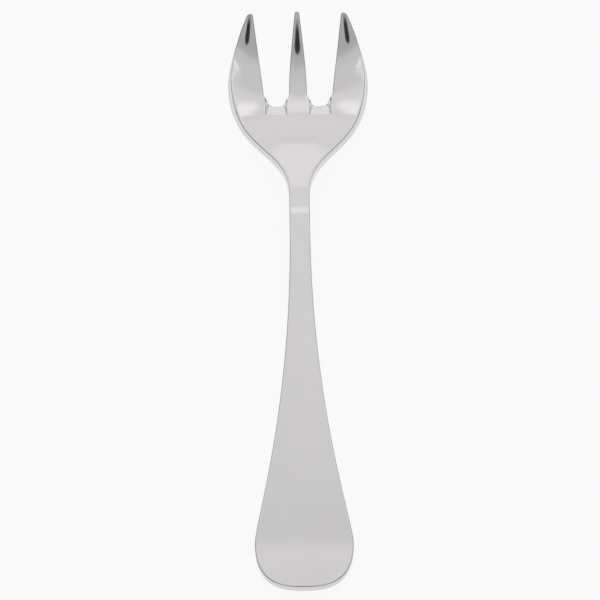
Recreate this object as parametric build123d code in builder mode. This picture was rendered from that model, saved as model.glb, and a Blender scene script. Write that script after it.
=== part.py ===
from build123d import *
from math import cos, pi, sqrt
import os

# Oyster fork: a short three-tined table fork, one solid piece of polished stainless
# steel. It has no joints and no loose pieces.
#
# Frame: X across the fork, +Y towards the tips, +Z up out of the dished front face.
# The fork lies on its back as on a table. The origin is under the middle of its length,
# on the plane where the handle's end and the belly of the head both rest.
# All sizes are in millimetres.

# Overall
overall_length = 142.0

# Handle: lengths measured from the handle's end
handle_width = 21.3          # across the paddle
paddle_at = 10.6             # where the paddle is widest
end_bluntness = 3.5          # half of the end that runs nearly square to the axis
end_fullness = 10.5          # how far the rounded end keeps the paddle's full width
paddle_hold = 5.1            # how long the flank stays near the paddle's width
taper_hold = 43.6            # how long the flank runs close to the neck's width

# Neck: lengths measured back from the tips
neck_width = 4.6
neck_back_at = 57.0          # the flank's curve ends here
neck_front_at = 48.2         # the shoulder's curve begins here

# Head: lengths measured back from the tips
head_width = 31.4
head_widest_at = 15.7
shoulder_hold_neck = 16.6    # how long the shoulder hugs the neck
shoulder_hold_head = 17.6    # how long it runs near the head's full width
outer_edge_hold = 2.8        # how long the outer tine keeps the full width
outer_tip_lean = 3.2         # the outer edge's last stretch, across
outer_tip_run = 5.4          # the same stretch, along

# Tines and the two slots between them
tip_offset = 10.5            # from the axis to the middle of an outer tip
outer_tip_width = 1.1
centre_tip_width = 1.0
outer_tip_setback = 0.3      # the outer tips end this much before the centre one
centre_tine_root = 4.2       # width between the slots
slot_root_radius = 2.85
slot_depth = 20.3            # from the centre tip to the bottom of a slot
centre_root_hold = 4.9       # how long the centre tine keeps its root width
centre_tip_lean = 0.85       # its flank's last stretch, across
centre_tip_run = 6.5         # the same stretch, along
inner_edge_hold = 1.1        # how soon an outer tine's inner edge leans out

# Relief pressed into the face behind each slot: a ramp with slanting sides
relief_width = 4.7           # at the face
relief_run = 3.2             # how far the ramp reaches behind the slot
relief_depth = 1.5           # where the ramp meets the slot
relief_side_slant = 0.5      # how much narrower each side is at that depth
relief_corner = 0.9

# Side profile along the axis
end_thickness = 2.1
end_levelling = 12.0         # the handle comes level over this much of its end
crest_height = 8.8           # front face at the top of the arch, over the neck
crest_at = 53.5              # back from the tips
crest_turn = 8.0             # the handle's straight slope turns over in this length
neck_thickness = 3.5
belly_at = 23.5              # lowest point of the head, back from the tips
belly_thickness = 2.2
tine_sweep_radius = 42.0     # the tines' upward curve
tip_thickness = 1.25

# Cross-sections: dished in the head, faintly crowned along the handle
dish_depth = 2.4             # at the head's full width
dish_centre_at = 21.0        # back from the tips
dish_reach = 24.0            # the dish fades out this far each way
handle_crown = 0.3           # how far the front drops at the paddle's full width

# Softened edges
face_edge_radius = 0.3       # the front's rim is rounded
back_edge_bevel = 0.25       # the back's rim is bevelled

# Blank that the outline is cut from
blank_margin = 3.0           # how far it reaches past the outline, sideways and down
blank_overrun = 9.0          # and past its two ends, so that its last span lies clear of them
station_pitch = 6.0          # spacing of its cross-sections
end_grind = 0.1              # taken off its back, so that the handle's end rests flat
belly_grind = 0.03           # and so that the belly does

tips_y = overall_length / 2
end_y = -overall_length / 2
crest_y = tips_y - crest_at
belly_y = tips_y - belly_at

neck_back = (neck_width / 2, tips_y - neck_back_at)
neck_front = (neck_width / 2, tips_y - neck_front_at)
paddle_side = (handle_width / 2, end_y + paddle_at)
head_side = (head_width / 2, tips_y - head_widest_at)
outer_tip = (tip_offset + outer_tip_width / 2, tips_y - outer_tip_setback)
inner_tip = (tip_offset - outer_tip_width / 2, tips_y - outer_tip_setback)
centre_tip = (centre_tip_width / 2, tips_y)
slot_x = centre_tine_root / 2 + slot_root_radius
slot_y = tips_y - slot_depth + slot_root_radius
slot_outer = (slot_x + slot_root_radius, slot_y)
slot_bottom = (slot_x, slot_y - slot_root_radius)
slot_inner = (slot_x - slot_root_radius, slot_y)


def ease(start, finish, share):
    """Go from start to finish with no slope at either end."""
    return start + (finish - start) * (1 - cos(pi * share)) / 2


def face_height(y):
    """Height of the front face on the axis: straight handle, arched neck, swept tines."""
    if y > belly_y:
        return belly_thickness + tine_sweep_radius - sqrt(tine_sweep_radius**2 - (y - belly_y) ** 2)
    if y > crest_y:
        return ease(crest_height, belly_thickness, (y - crest_y) / (belly_y - crest_y))
    slope = (crest_height - end_thickness) / (crest_y - end_y - (end_levelling + crest_turn) / 2)
    if y > crest_y - crest_turn:
        return crest_height - slope * (crest_y - y) ** 2 / (2 * crest_turn)
    if y > end_y + end_levelling:
        return end_thickness + slope * (y - end_y - end_levelling / 2)
    return end_thickness + slope * (y - end_y) ** 2 / (2 * end_levelling)


def thickness(y):
    """Thickness of the blank under the front face, before grinding."""
    belly = belly_thickness + belly_grind
    if y > belly_y:
        return ease(belly, tip_thickness, (y - belly_y) / (tips_y - belly_y))
    if y > crest_y:
        return ease(neck_thickness, belly, (y - crest_y) / (belly_y - crest_y))
    return ease(end_thickness + end_grind, neck_thickness, (y - end_y) / (crest_y - end_y))


def cross_curvature(y, crown):
    """Curvature across the axis: the head is dished, and the handle's edges drop by crown."""
    dished = 2 * dish_depth / (head_width / 2) ** 2
    crowned = -2 * crown / (handle_width / 2) ** 2
    away = min(abs(y - (tips_y - dish_centre_at)) / dish_reach, 1)
    return ease(dished, crowned if y < belly_y else 0, away)


def blank_side(y):
    """Half width of the blank: past the outline everywhere, narrow at the neck."""
    widest_y, width = (head_side[1], head_width) if y > crest_y else (paddle_side[1], handle_width)
    away = min((y - crest_y) / (widest_y - crest_y), 1)
    return ease(neck_width, width, away) / 2 + blank_margin


# Plan outline: the right half runs round the handle's end, up the flank and the shoulder
# to the outer tip, down into the slot and up to the centre tip, and is then mirrored
with BuildSketch() as plan:
    with BuildLine():
        Bezier(
            (0, end_y),
            (end_bluntness, end_y),
            (paddle_side[0], paddle_side[1] - end_fullness),
            paddle_side,
        )
        Bezier(
            paddle_side,
            (paddle_side[0], paddle_side[1] + paddle_hold),
            (neck_back[0], neck_back[1] - taper_hold),
            neck_back,
        )
        Line(neck_back, neck_front)
        Bezier(
            neck_front,
            (neck_front[0], neck_front[1] + shoulder_hold_neck),
            (head_side[0], head_side[1] - shoulder_hold_head),
            head_side,
        )
        Bezier(
            head_side,
            (head_side[0], head_side[1] + outer_edge_hold),
            (outer_tip[0] + outer_tip_lean, outer_tip[1] - outer_tip_run),
            outer_tip,
        )
        Line(outer_tip, inner_tip)
        Bezier(inner_tip, (slot_outer[0], slot_y + inner_edge_hold), slot_outer)
        ThreePointArc(slot_outer, slot_bottom, slot_inner)
        Bezier(
            slot_inner,
            (slot_inner[0], slot_y + centre_root_hold),
            (centre_tip[0] + centre_tip_lean, centre_tip[1] - centre_tip_run),
            centre_tip,
        )
        Polyline(centre_tip, (0, tips_y), (0, end_y))
    make_face()
    mirror(about=Plane.YZ)

# Relief cutter: from the ramp's foot at the slot it widens and runs back as it rises, and
# its top lies at twice the relief's depth, so that it clears the face
relief_foot = face_height(slot_bottom[1]) - relief_depth
with BuildPart() as relief:
    for depths_up in (0, 2):
        width = relief_width + 2 * relief_side_slant * (depths_up - 1)
        back_y = slot_bottom[1] - relief_run * depths_up
        with BuildSketch(Plane.XY.offset(relief_foot + relief_depth * depths_up)) as ramp:
            with Locations((slot_x, back_y)):
                Rectangle(width, slot_y - back_y, align=(Align.CENTER, Align.MIN))
            fillet(ramp.vertices().group_by(Axis.Y)[0], relief_corner)
    loft(ruled=True)

with BuildPart() as fork:
    # The pressed blank, lofted through cross-sections along the whole length
    blank_length = overall_length + 2 * blank_overrun
    station_count = round(blank_length / station_pitch)
    for station in range(station_count + 1):
        y = end_y - blank_overrun + blank_length * station / station_count
        side = blank_side(y)
        face = face_height(y)
        back = face - thickness(y)
        face_rise = cross_curvature(y, handle_crown) * side**2 / 2
        back_rise = cross_curvature(y, 0) * side**2 / 2
        with BuildSketch(Plane.XZ.offset(-y)):
            with BuildLine():
                Bezier((-side, face + face_rise), (0, face - face_rise), (side, face + face_rise))
                Line((side, face + face_rise), (side, back + back_rise))
                Bezier((side, back + back_rise), (0, back - back_rise), (-side, back + back_rise))
                Line((-side, back + back_rise), (-side, face + face_rise))
            make_face()
    loft()

    # The outline is cut from it
    with BuildSketch(Plane.XY.offset(-blank_margin)):
        add(plan.sketch)
    extrude(amount=blank_margin + crest_height + tine_sweep_radius, mode=Mode.INTERSECT)

    # Edges are softened all round
    front_face = faces().sort_by(SortBy.AREA)[-2:].sort_by(Axis.Z)[-1]
    fillet(front_face.edges(), face_edge_radius)
    back_face = faces().sort_by(SortBy.AREA)[-2:].sort_by(Axis.Z)[0]
    chamfer(back_face.edges(), back_edge_bevel)

    # Both resting places are flattened on the table's plane
    split(bisect_by=Plane.XY, keep=Keep.TOP)

    # Both reliefs are pressed in last
    add(relief.part, mode=Mode.SUBTRACT)
    add(mirror(relief.part, about=Plane.YZ, mode=Mode.PRIVATE), mode=Mode.SUBTRACT)

fork.part.label = "fork"
os.makedirs("parts", exist_ok=True)
export_step(fork.part, "parts/fork.step")
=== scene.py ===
from math import copysign, cos, degrees, pi, radians, sin, sqrt

import bmesh
import bpy
from mathutils import Matrix, Vector
from mathutils.geometry import delaunay_2d_cdt
from mathutils.kdtree import KDTree


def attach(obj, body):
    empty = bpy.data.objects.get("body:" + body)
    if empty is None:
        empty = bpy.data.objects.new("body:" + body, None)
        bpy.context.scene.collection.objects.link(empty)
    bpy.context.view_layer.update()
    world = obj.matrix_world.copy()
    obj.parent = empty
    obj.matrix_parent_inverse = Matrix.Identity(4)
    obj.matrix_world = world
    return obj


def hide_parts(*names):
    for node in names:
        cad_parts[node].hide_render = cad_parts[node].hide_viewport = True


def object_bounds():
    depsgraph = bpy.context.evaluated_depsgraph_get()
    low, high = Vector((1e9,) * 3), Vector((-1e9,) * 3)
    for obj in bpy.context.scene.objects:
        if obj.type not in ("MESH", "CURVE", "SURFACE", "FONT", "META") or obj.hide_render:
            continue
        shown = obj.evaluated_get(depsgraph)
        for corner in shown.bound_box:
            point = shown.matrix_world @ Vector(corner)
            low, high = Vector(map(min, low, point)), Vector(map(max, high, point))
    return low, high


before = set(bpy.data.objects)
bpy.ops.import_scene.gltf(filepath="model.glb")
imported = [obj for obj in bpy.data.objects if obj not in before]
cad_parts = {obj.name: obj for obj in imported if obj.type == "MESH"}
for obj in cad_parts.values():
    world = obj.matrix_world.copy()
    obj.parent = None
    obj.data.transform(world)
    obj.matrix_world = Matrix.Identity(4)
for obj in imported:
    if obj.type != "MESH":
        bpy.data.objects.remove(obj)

# Oyster fork in polished stainless steel, lying on its back on a white table.
# Frame: X across the fork, +Y towards the tips, +Z up. All sizes are in metres.

cad_low, cad_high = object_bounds()
overall_length = cad_high[1] - cad_low[1]
head_width = cad_high[0] - cad_low[0]

# Handle: lengths measured from the handle's end
handle_width = 0.0213
paddle_at = 0.0106
end_bluntness = 0.0035
end_fullness = 0.0105
paddle_hold = 0.0051
taper_hold = 0.0436

# Neck and head: lengths measured back from the tips
neck_width = 0.0046
neck_back_at = 0.0570
neck_front_at = 0.0482
head_widest_at = 0.0157
shoulder_hold_neck = 0.0166
shoulder_hold_head = 0.0176
outer_edge_hold = 0.0028
outer_tip_lean = 0.0032
outer_tip_run = 0.0054

# Tines, and the two slots between them
tip_offset = 0.0105
outer_tip_width = 0.0011
centre_tip_width = 0.0010
outer_tip_setback = 0.0003
centre_tine_root = 0.0042
slot_root_radius = 0.00285
slot_depth = 0.0203
centre_root_hold = 0.0049
centre_tip_lean = 0.00085
centre_tip_run = 0.0065
inner_edge_hold = 0.0011

# Ramped reliefs behind the slots
relief_width = 0.0047
relief_run = 0.0032
relief_depth = 0.0015
relief_side_slant = 0.0005
relief_edge_round = 0.00012  # how softly the relief breaks into the face
relief_fade = 6              # its softening is cut off at this many rounds outside

# Side profile along the axis
end_thickness = 0.0021
end_levelling = 0.0120
crest_height = 0.0088
crest_at = 0.0535
crest_turn = 0.0080
neck_thickness = 0.0035
belly_at = 0.0235
belly_thickness = 0.0022
tip_thickness = 0.00125

# Across the axis
dish_depth = 0.0024
dish_centre_at = 0.0210
dish_reach = 0.0240
handle_crown = 0.0003
tine_crown_radius = 0.006    # each tine's face is rounded across, most at the tip
tine_crown_start = 0.0150    # back from the tips, where that begins to show
tine_levelling = 0.0120      # beyond there the dish fades from each tine over this length
tine_bulge = 0.00045         # how far an outer tine's middle line bows outward
outer_hollow = 0.00012       # the outer tines' faces are this much lower, at their hollow
outer_hollow_at = 0.0098     # back from the tips
outer_hollow_reach = 0.0060

# Edges
face_edge_radius = 0.0003
back_edge_radius = 0.0003
tip_corner = 0.00045         # how far each tip's two corners are rounded back
rim_steps = 5

# Camera: it leans from straight above towards the handle, and looks at the target
view_lean = radians(30)
view_roll = radians(-0.8)
view_distance = 1.2
view_width = 0.132           # seen across the picture, at the target
target = Vector((0, 0, 0.003))
picture_pixels = 600
target_column = 300.86       # where the target shows in the picture, in pixels
target_row = 297.09

# Sky: its brightness by the angle over the fork, in degrees from straight above. The tips' side
# is positive, and the camera's, over the handle, is negative. The sky's other angles are counted
# the same way, and its places across are the X of the direction looked in.
sky_bands = {
    -180: 0.85, -95: 0.85, -86: 0.30, -60: 0.34, -45: 0.60, -8: 0.56, -1: 0.62, 1: 0.73,
    8: 0.78, 17: 0.80, 20: 0.93, 25: 0.90, 29: 0.90, 34: 0.94, 46: 0.94, 56: 0.92,
    70: 0.94, 76: 1.06, 86: 1.06, 92: 0.70, 180: 0.85,
}
sky_bend = 30                # all bands bend towards the tips' side, most far across
dark_patch = (-32, -22, -8.5, -7.5)    # it deepens over the first two angles, and ends over the last
dark_patch_edge = (0.09, 0.13)         # and fades between these, across
dark_patch_taper = 350       # its two ends are drawn in by this times the square across
dark_patch_depth = 0.93
side_band = (21.5, 25, 25.5, 29)       # it brightens over the first two angles, and ends over the last
side_band_edge = (0.25, 0.33)          # it begins between these, across
side_band_gain = 0.36
window_edge = (59.6, 60.4)   # a window, bright on the neck, begins between these angles
window_bend = 570            # its edge is bent by this times the square across
window_side = (0.040, 0.048)           # and it fades between these, across
window_gain = 0.11
room_edge = (0.50, 0.70)     # far across, on both sides, the room is darker
room_depth_left = 0.65
room_depth_right = 0.50

# Softbox: a small lamp over the head, on the tips' side
softbox_at = radians(26.5)   # from straight above the belly
softbox_distance = 0.15
softbox_size = (0.05, 0.018)           # across the fork, and along
softbox_brightness = 0.15

# Table
table_reach = 3.0            # from the middle to each side
table_white = 0.95
table_glow = 0.90            # how much of the table's white is plain backdrop, without shadow

# Steel: its two shades, how rough it is at least, and three patterns that add to that. Each
# pattern has its fineness, and two are stretched along the fork, the scratches at a slant.
steel_shades = ((0.675, 0.658, 0.663, 1.0), (0.692, 0.675, 0.680, 1.0))
smooth_roughness = 0.05
haze_fineness = 90.0
haze_contrast = (0.35, 0.75)
haze_roughness = 0.04
line_fineness = 5200.0
line_stretch = (1.0, 0.03, 1.0)
line_roughness = 0.02
scratch_fineness = 2600.0
scratch_stretch = (1.0, 0.02, 1.0)
scratch_slant = 0.6
scratch_contrast = (0.66, 0.74)
scratch_roughness = 0.05
scratch_depth = 0.5          # how deep scratches are, against the lines
bump_strength = 0.02
bump_height = 0.00002        # of the full pattern, at full strength

# Fineness of the mesh
edge_pitch = 0.00028
edge_clearance = 0.0002      # the net's points stay this far from the edge
face_pitch = 0.00055
tine_pitch = 0.00022
tine_net_start = 0.0125      # back from the tips, where the tines' finer net begins
relief_pitch = 0.00016
relief_margin = 0.0005       # how far round a relief the finest net reaches
weld_distance = 1e-9

tips_y = overall_length / 2
end_y = -overall_length / 2
crest_y = tips_y - crest_at
belly_y = tips_y - belly_at
slot_x = centre_tine_root / 2 + slot_root_radius
slot_y = tips_y - slot_depth + slot_root_radius
ramp_back = slot_y - slot_root_radius - relief_run

# The tines sweep up on an arc that reaches the height of the frame's box at the tips' rims
tine_rise = cad_high[2] - belly_thickness
tine_run = tips_y - face_edge_radius - belly_y
tine_sweep_radius = (tine_rise**2 + tine_run**2) / (2 * tine_rise)


# ---- The fork's outline, from above ----

def curve(*controls):
    """Points along a Bezier curve at about the edge's pitch, without its last one."""
    length = sum((Vector(b) - Vector(a)).length for a, b in zip(controls, controls[1:]))
    count = max(2, round(length / edge_pitch))
    points = []
    for step in range(count):
        share = step / count
        layer = [Vector(point) for point in controls]
        while len(layer) > 1:
            layer = [a.lerp(b, share) for a, b in zip(layer, layer[1:])]
        points.append(layer[0])
    return points


def slot_root():
    """The round bottom of a slot, from its outer to its inner wall."""
    count = round(pi * slot_root_radius / edge_pitch)
    centre = Vector((slot_x, slot_y))
    return [centre + slot_root_radius * Vector((cos(turn), -sin(turn)))
            for turn in (pi * step / count for step in range(count))]


def half_outline():
    """Right half of the outline, from the handle's end to the middle of the centre tip."""
    paddle = Vector((handle_width / 2, end_y + paddle_at))
    neck_back = Vector((neck_width / 2, tips_y - neck_back_at))
    neck_front = Vector((neck_width / 2, tips_y - neck_front_at))
    head = Vector((head_width / 2, tips_y - head_widest_at))
    outer_tip = Vector((tip_offset + outer_tip_width / 2, tips_y - outer_tip_setback))
    inner_tip = Vector((tip_offset - outer_tip_width / 2, tips_y - outer_tip_setback))
    centre_tip = Vector((centre_tip_width / 2, tips_y))
    slot_outer = Vector((slot_x + slot_root_radius, slot_y))
    slot_inner = Vector((slot_x - slot_root_radius, slot_y))
    along = Vector((0, 1))
    points = curve((0, end_y), (end_bluntness, end_y), paddle - end_fullness * along, paddle)
    points += curve(paddle, paddle + paddle_hold * along, neck_back - taper_hold * along, neck_back)
    points += curve(neck_back, neck_front)
    points += curve(neck_front, neck_front + shoulder_hold_neck * along,
                    head - shoulder_hold_head * along, head)
    points += curve(head, head + outer_edge_hold * along,
                    outer_tip + Vector((outer_tip_lean, -outer_tip_run)), outer_tip)
    points += curve(outer_tip, inner_tip)
    points += curve(inner_tip, slot_outer + inner_edge_hold * along, slot_outer)
    points += slot_root()
    points += curve(slot_inner, slot_inner + centre_root_hold * along,
                    centre_tip + Vector((centre_tip_lean, -centre_tip_run)), centre_tip)
    points += curve(centre_tip, (0, tips_y))
    return points


def rounded(points, corner):
    """Points with this corner cut back along both sides and rounded."""
    near = [index for index, point in enumerate(points) if (point - corner).length < tip_corner]
    before, after = points[near[0] - 1], points[near[-1] + 1]
    bend = [before.lerp(corner, share).lerp(corner.lerp(after, share), share)
            for share in (step / rim_steps for step in range(1, rim_steps))]
    return points[:near[0]] + bend + points[near[-1] + 1:]


def fork_outline():
    """The whole outline, anticlockwise from the middle of the handle's end."""
    right = half_outline() + [Vector((0, tips_y))]
    for side in (1, -1):
        right = rounded(right, Vector((tip_offset + side * outer_tip_width / 2, tips_y - outer_tip_setback)))
    right = rounded(right, Vector((centre_tip_width / 2, tips_y)))
    left = [Vector((-point.x, point.y)) for point in reversed(right[1:-1])]
    return right + left


# ---- The pressed form ----

def ease(start, finish, share):
    """Go from start to finish with no slope at either end."""
    share = min(max(share, 0), 1)
    return start + (finish - start) * (1 - cos(pi * share)) / 2


def axis_height(y):
    """Height of the front face on the axis."""
    if y > belly_y:
        return belly_thickness + tine_sweep_radius - sqrt(tine_sweep_radius**2 - (y - belly_y) ** 2)
    if y > crest_y:
        return ease(crest_height, belly_thickness, (y - crest_y) / (belly_y - crest_y))
    slope = (crest_height - end_thickness) / (crest_y - end_y - (end_levelling + crest_turn) / 2)
    if y > crest_y - crest_turn:
        return crest_height - slope * (crest_y - y) ** 2 / (2 * crest_turn)
    if y > end_y + end_levelling:
        return end_thickness + slope * (y - end_y - end_levelling / 2)
    return end_thickness + slope * (y - end_y) ** 2 / (2 * end_levelling)


def sheet_thickness(y):
    """Thickness of the steel under the front face, on the axis."""
    if y > belly_y:
        return ease(belly_thickness, tip_thickness, (y - belly_y) / (tips_y - belly_y))
    if y > crest_y:
        return ease(neck_thickness, belly_thickness, (y - crest_y) / (belly_y - crest_y))
    return ease(end_thickness, neck_thickness, (y - end_y) / (crest_y - end_y))


def cross_curvature(y, crown):
    """Curvature across the axis: dished in the head, crowned along the handle."""
    dished = 2 * dish_depth / (head_width / 2) ** 2
    crowned = -2 * crown / (handle_width / 2) ** 2 if y < belly_y else 0
    return ease(dished, crowned, abs(y - (tips_y - dish_centre_at)) / dish_reach)


def tine_middle(x, y):
    """The nearest tine's middle line, across."""
    share = min(max((y - slot_y) / (tips_y - slot_y), 0), 1)
    outer_root = (slot_x + slot_root_radius + head_width / 2) / 2
    outer_middle = outer_root + (tip_offset - outer_root) * share + 4 * tine_bulge * share * (1 - share)
    return copysign(outer_middle, x) if abs(x) > outer_middle / 2 else 0


def cross_rise(x, y, crown):
    """Height over the axis: the dish curves across the head, and each tine comes level."""
    level = ease(0, 1, (y - (tips_y - tine_crown_start)) / tine_levelling)
    reach = x + (tine_middle(x, y) - x) * level
    return cross_curvature(y, crown) * reach**2 / 2


def relief_drop(x, y):
    """How far the ramp behind a slot lies below the face here, or 0 outside it."""
    deep = relief_depth * (y - ramp_back) / relief_run
    side = relief_width / 2 - abs(abs(x) - slot_x)
    wall = relief_depth * side / relief_side_slant
    share = min(deep, wall, relief_depth) / relief_edge_round
    if y > slot_y or share < -relief_fade:
        return 0
    return relief_edge_round * (sqrt(1 + share**2) + share) / 2


def face_height(x, y):
    """Height of the front face."""
    crown = ease(0, 1 / tine_crown_radius, (y - (tips_y - tine_crown_start)) / tine_crown_start)
    middle = tine_middle(x, y)
    rounding = crown * (x - middle) ** 2 / 2
    height = axis_height(y) + cross_rise(x, y, handle_crown) - rounding - relief_drop(x, y)
    if middle:
        height -= ease(outer_hollow, 0, abs(y - (tips_y - outer_hollow_at)) / outer_hollow_reach)
    return height


def back_height(x, y):
    """Height of the back, which is flat where it rests on the table."""
    return max(axis_height(y) - sheet_thickness(y) + cross_rise(x, y, 0), 0)


# ---- The mesh: rings round the outline, and a fine net over each face ----

def outward(points):
    """Unit normals of a closed outline that runs anticlockwise."""
    normals = []
    for index, point in enumerate(points):
        run = points[(index + 1) % len(points)] - points[index - 1]
        normals.append(Vector((run.y, -run.x)).normalized())
    return normals


def net_pitch(point):
    """Spacing of the net here: fine on the tines, and finest at the reliefs."""
    beside = abs(abs(point.x) - slot_x) - relief_width / 2
    if beside < relief_margin and ramp_back - relief_margin < point.y < slot_y:
        return relief_pitch
    return tine_pitch if point.y > tips_y - tine_net_start else face_pitch


def even_net(pitch):
    """Staggered rows of points over the whole fork, kept where this is the net's pitch."""
    row_step = pitch * sqrt(3) / 2
    columns = round(head_width / 2 / pitch)
    points = (Vector(((column + row % 2 / 2) * pitch, end_y + row * row_step))
              for row in range(round(overall_length / row_step))
              for column in range(-columns, columns + 1))
    return [point for point in points if net_pitch(point) == pitch]


def net(ring):
    """Fill a ring with the net. The ring's own points come first."""
    tree = KDTree(len(ring))
    for index, point in enumerate(ring):
        tree.insert((*point, 0), index)
    tree.balance()
    inner = [point for pitch in (face_pitch, tine_pitch, relief_pitch) for point in even_net(pitch)
             if tree.find((*point, 0))[2] > edge_clearance]
    loop = [(index, (index + 1) % len(ring)) for index in range(len(ring))]
    flat, _, faces, origins, _, _ = delaunay_2d_cdt(ring + inner, loop, [], 1, weld_distance)
    return flat, faces, origins


def fork_mesh():
    """The whole fork as one closed mesh: both faces, the rounded rims and the wall between."""
    outline = fork_outline()
    normals = outward(outline)
    bm = bmesh.new()
    rings = []

    def ring(insets, heights):
        rings.append([bm.verts.new((p.x - n.x * d, p.y - n.y * d, z))
                      for p, n, d, z in zip(outline, normals, insets, heights)])

    # In the dished head the wall stands square to the sheet, so its top is set in
    lean = []
    for point, normal in zip(outline, normals):
        slope = cross_curvature(point.y, 0) * point.x * normal.x
        lean.append(sheet_thickness(point.y) * max(slope, 0) / sqrt(1 + slope * slope))

    front = [d + face_edge_radius for d in lean]
    for step in range(rim_steps + 1):
        turn = pi / 2 * step / rim_steps
        insets = [d + face_edge_radius * (1 - sin(turn)) for d in lean]
        drop = face_edge_radius * (1 - cos(turn))
        ring(insets, [face_height(p.x - n.x * d, p.y - n.y * d) - drop
                      for p, n, d in zip(outline, normals, front)])
    for step in range(rim_steps, -1, -1):
        turn = pi / 2 * step / rim_steps
        inset = back_edge_radius * (1 - sin(turn))
        rise = back_edge_radius * (1 - cos(turn))
        ring([inset] * len(outline),
             [back_height(p.x - n.x * back_edge_radius, p.y - n.y * back_edge_radius) + rise
              for p, n in zip(outline, normals)])
    for upper, lower in zip(rings, rings[1:]):
        for index in range(len(outline)):
            after = (index + 1) % len(outline)
            bm.faces.new((upper[index], lower[index], lower[after], upper[after]))

    for edge_ring, height, flip in ((rings[0], face_height, False), (rings[-1], back_height, True)):
        flat, faces, origins = net([Vector(v.co.xy) for v in edge_ring])
        verts = {}
        for index in sorted({corner for face in faces for corner in face}):
            on_ring = [source for source in origins[index] if source < len(edge_ring)]
            point = flat[index]
            verts[index] = edge_ring[on_ring[0]] if on_ring else bm.verts.new((*point, height(*point)))
        for face in faces:
            corners = [verts[index] for index in face]
            bm.faces.new(reversed(corners) if flip else corners)
    bmesh.ops.recalc_face_normals(bm, faces=bm.faces)
    mesh = bpy.data.meshes.new("fork_body")
    bm.to_mesh(mesh)
    bm.free()
    mesh.polygons.foreach_set("use_smooth", [True] * len(mesh.polygons))
    return mesh


# ---- Materials ----

class Value:
    """A shader socket that can be used in Python expressions."""

    def __init__(self, shader, socket):
        self.shader = shader
        self.socket = socket

    def _maths(self, operation, *values):
        return Value(self.shader, self.shader.node("ShaderNodeMath", {"operation": operation}, *values))

    def __add__(self, other):
        return self._maths("ADD", self, other)

    def __sub__(self, other):
        return self._maths("SUBTRACT", self, other)

    def __rsub__(self, other):
        return self._maths("SUBTRACT", other, self)

    def __mul__(self, other):
        return self._maths("MULTIPLY", self, other)

    def __abs__(self):
        return self._maths("ABSOLUTE", self)

    __radd__ = __add__
    __rmul__ = __mul__

    def smooth(self, low, high):
        """0 below low, 1 above high, and a soft step between them."""
        return Value(self.shader, self.shader.node(
            "ShaderNodeMapRange", {"interpolation_type": "SMOOTHSTEP"}, self, low, high, 0.0, 1.0))


class Shader:
    """Nodes of one material or world."""

    def __init__(self, owner):
        owner.use_nodes = True
        self.tree = owner.node_tree
        self.tree.nodes.clear()

    def node(self, kind, settings, *inputs, output=0, numbered=(), **named):
        """A node of this type: its settings, then its sockets in order, by number and by name."""
        made = self.tree.nodes.new(kind)
        for name, value in settings.items():
            setattr(made, name, value)
        by_name = [(name.replace("_", " "), value) for name, value in named.items()]
        for key, value in [*enumerate(inputs), *numbered, *by_name]:
            socket = value.socket if isinstance(value, Value) else value
            if isinstance(socket, bpy.types.NodeSocket):
                self.tree.links.new(socket, made.inputs[key])
            else:
                made.inputs[key].default_value = socket
        return made.outputs[output] if made.outputs else made


def polished_steel():
    """Mirror-polished steel with faint lengthwise polishing lines, hairline scratches and haze."""
    material = bpy.data.materials.new("polished_steel")
    steel = Shader(material)
    place = steel.node("ShaderNodeTexCoord", {}, output="Object")
    along = steel.node("ShaderNodeMapping", {}, place, Scale=line_stretch)
    lines = Value(steel, steel.node("ShaderNodeTexNoise", {}, along, Scale=line_fineness, Detail=3.0))
    haze = Value(steel, steel.node("ShaderNodeTexNoise", {}, place, Scale=haze_fineness,
                                   Detail=4.0, Roughness=0.6))
    slanted = steel.node("ShaderNodeMapping", {}, place, Rotation=(0.0, 0.0, scratch_slant),
                         Scale=scratch_stretch)
    hairs = Value(steel, steel.node("ShaderNodeTexNoise", {}, slanted, Scale=scratch_fineness, Detail=2.0))
    scratches = hairs.smooth(*scratch_contrast)
    roughness = smooth_roughness + haze * haze_roughness + lines * line_roughness \
        + scratches * scratch_roughness
    darker, lighter = steel_shades
    colour = steel.node("ShaderNodeMix", {"data_type": "RGBA"}, haze.smooth(*haze_contrast), output=2,
                        numbered=((6, darker), (7, lighter)))
    bump = steel.node("ShaderNodeBump", {}, Strength=bump_strength, Distance=bump_height,
                      Height=lines + scratches * scratch_depth)
    surface = steel.node("ShaderNodeBsdfPrincipled", {}, Metallic=1.0, Roughness=roughness,
                         Base_Color=colour, Normal=bump)
    steel.node("ShaderNodeOutputMaterial", {}, surface)
    return material


# ---- Studio ----

def towards_camera():
    return Vector((0, -sin(view_lean), cos(view_lean)))


def photo_camera():
    """A camera at the photograph's angle, with the target where the photograph has it."""
    back = towards_camera()
    level = Vector((1, 0, 0))
    right = cos(view_roll) * level + sin(view_roll) * back.cross(level)
    up = back.cross(right)
    data = bpy.data.cameras.new("photo_camera")
    data.lens = data.sensor_width * view_distance / view_width
    data.shift_x = (picture_pixels / 2 - target_column) / picture_pixels
    data.shift_y = (target_row - picture_pixels / 2) / picture_pixels
    camera = bpy.data.objects.new("photo_camera", data)
    place = target + view_distance * back
    rows = [(*axes, spot) for axes, spot in zip(zip(right, up, back), place)]
    camera.matrix_world = Matrix(rows + [(0, 0, 0, 1)])
    bpy.context.collection.objects.link(camera)
    bpy.context.scene.camera = camera


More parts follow.
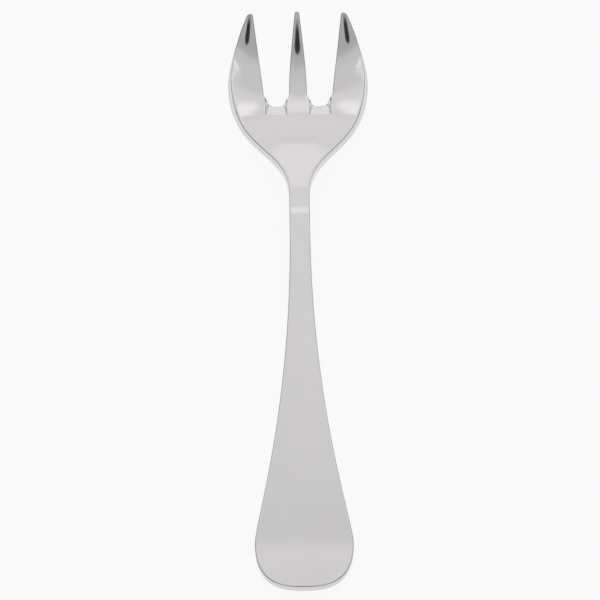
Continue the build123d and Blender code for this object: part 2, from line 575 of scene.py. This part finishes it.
def white_table():
    """A white table that keeps a trace of the fork's soft shadow."""
    mesh = bpy.data.meshes.new("table")
    corners = [(x * table_reach, y * table_reach, 0) for x, y in ((-1, -1), (1, -1), (1, 1), (-1, 1))]
    mesh.from_pydata(corners, [], [(0, 1, 2, 3)])
    table = bpy.data.objects.new("table", mesh)
    bpy.context.collection.objects.link(table)
    material = bpy.data.materials.new("white_table")
    white = Shader(material)
    path = white.node("ShaderNodeLightPath", {}).node
    seen = Value(white, path.outputs["Is Camera Ray"]) + Value(white, path.outputs["Is Glossy Ray"]) \
        + Value(white, path.outputs["Is Transmission Ray"])
    matt = white.node("ShaderNodeBsdfDiffuse", {}, Color=(table_white, table_white, table_white, 1.0))
    glow = white.node("ShaderNodeEmission", {}, Strength=1.0)
    surface = white.node("ShaderNodeMixShader", {}, seen * table_glow, matt, glow)
    white.node("ShaderNodeOutputMaterial", {}, surface)
    mesh.materials.append(material)


def soft_sky():
    """A studio's soft light in bands along the fork, with a window, a dark patch and darker sides."""
    world = bpy.data.worlds.new("soft_sky")
    bpy.context.scene.world = world
    sky = Shader(world)
    direction = sky.node("ShaderNodeTexCoord", {}, output=0)
    parts = sky.node("ShaderNodeSeparateXYZ", {}, direction).node.outputs
    across = Value(sky, parts["X"])
    off_axis = abs(across)
    turn = Value(sky, sky.node("ShaderNodeMath", {"operation": "ARCTAN2"}, parts["Y"], parts["Z"]))
    over = turn * degrees(1)
    bent = over - sky_bend * across * across
    ramp = sky.node("ShaderNodeValToRGB", {}, bent * (1 / 360) + 0.5).node
    ramp.color_ramp.interpolation = "EASE"
    stops = ramp.color_ramp.elements
    stops.remove(stops[1])
    for angle, grey in sky_bands.items():
        stop = stops[0] if angle == -180 else stops.new((angle + 180) / 360)
        stop.color = (grey, grey, grey, 1)
    starts, deepest, ends, ended = dark_patch
    drawn_in = dark_patch_taper * across * across
    patch = (over - drawn_in).smooth(starts, deepest) * (1 - (over + drawn_in).smooth(ends, ended)) \
        * (1 - off_axis.smooth(*dark_patch_edge))
    begins, bright, fades, faded = side_band
    band = bent.smooth(begins, bright) * (1 - bent.smooth(fades, faded)) * off_axis.smooth(*side_band_edge)
    window = (over + window_bend * across * across).smooth(*window_edge) \
        * (1 - off_axis.smooth(*window_side))
    left = (-1 * across).smooth(*room_edge) * room_depth_left
    right = across.smooth(*room_edge) * room_depth_right
    bright_parts = (1 + window_gain * window) * (1 + side_band_gain * band)
    strength = (1 - dark_patch_depth * patch) * bright_parts * (1 - left) * (1 - right)
    light = sky.node("ShaderNodeBackground", {}, ramp.outputs[0], strength)
    sky.node("ShaderNodeOutputWorld", {}, light)


def softbox():
    """A small soft lamp close over the tips, that the belly of the head mirrors as a band."""
    data = bpy.data.lights.new("softbox", "AREA")
    data.shape = "RECTANGLE"
    data.size, data.size_y = softbox_size
    data.energy = softbox_brightness * pi * data.size * data.size_y
    lamp = bpy.data.objects.new("softbox", data)
    out = Vector((0, sin(softbox_at), cos(softbox_at)))
    lamp.location = Vector((0, belly_y, belly_thickness)) + softbox_distance * out
    lamp.rotation_euler = out.to_track_quat("Z", "Y").to_euler()
    bpy.context.collection.objects.link(lamp)


# ---- Build ----

bpy.context.scene.view_settings.view_transform = "Standard"
photo_camera()
white_table()
soft_sky()
softbox()

fork = bpy.data.objects.new("fork_polished", fork_mesh())
bpy.context.collection.objects.link(fork)
fork.data.materials.append(polished_steel())
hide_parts("fork")
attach(fork, "root")
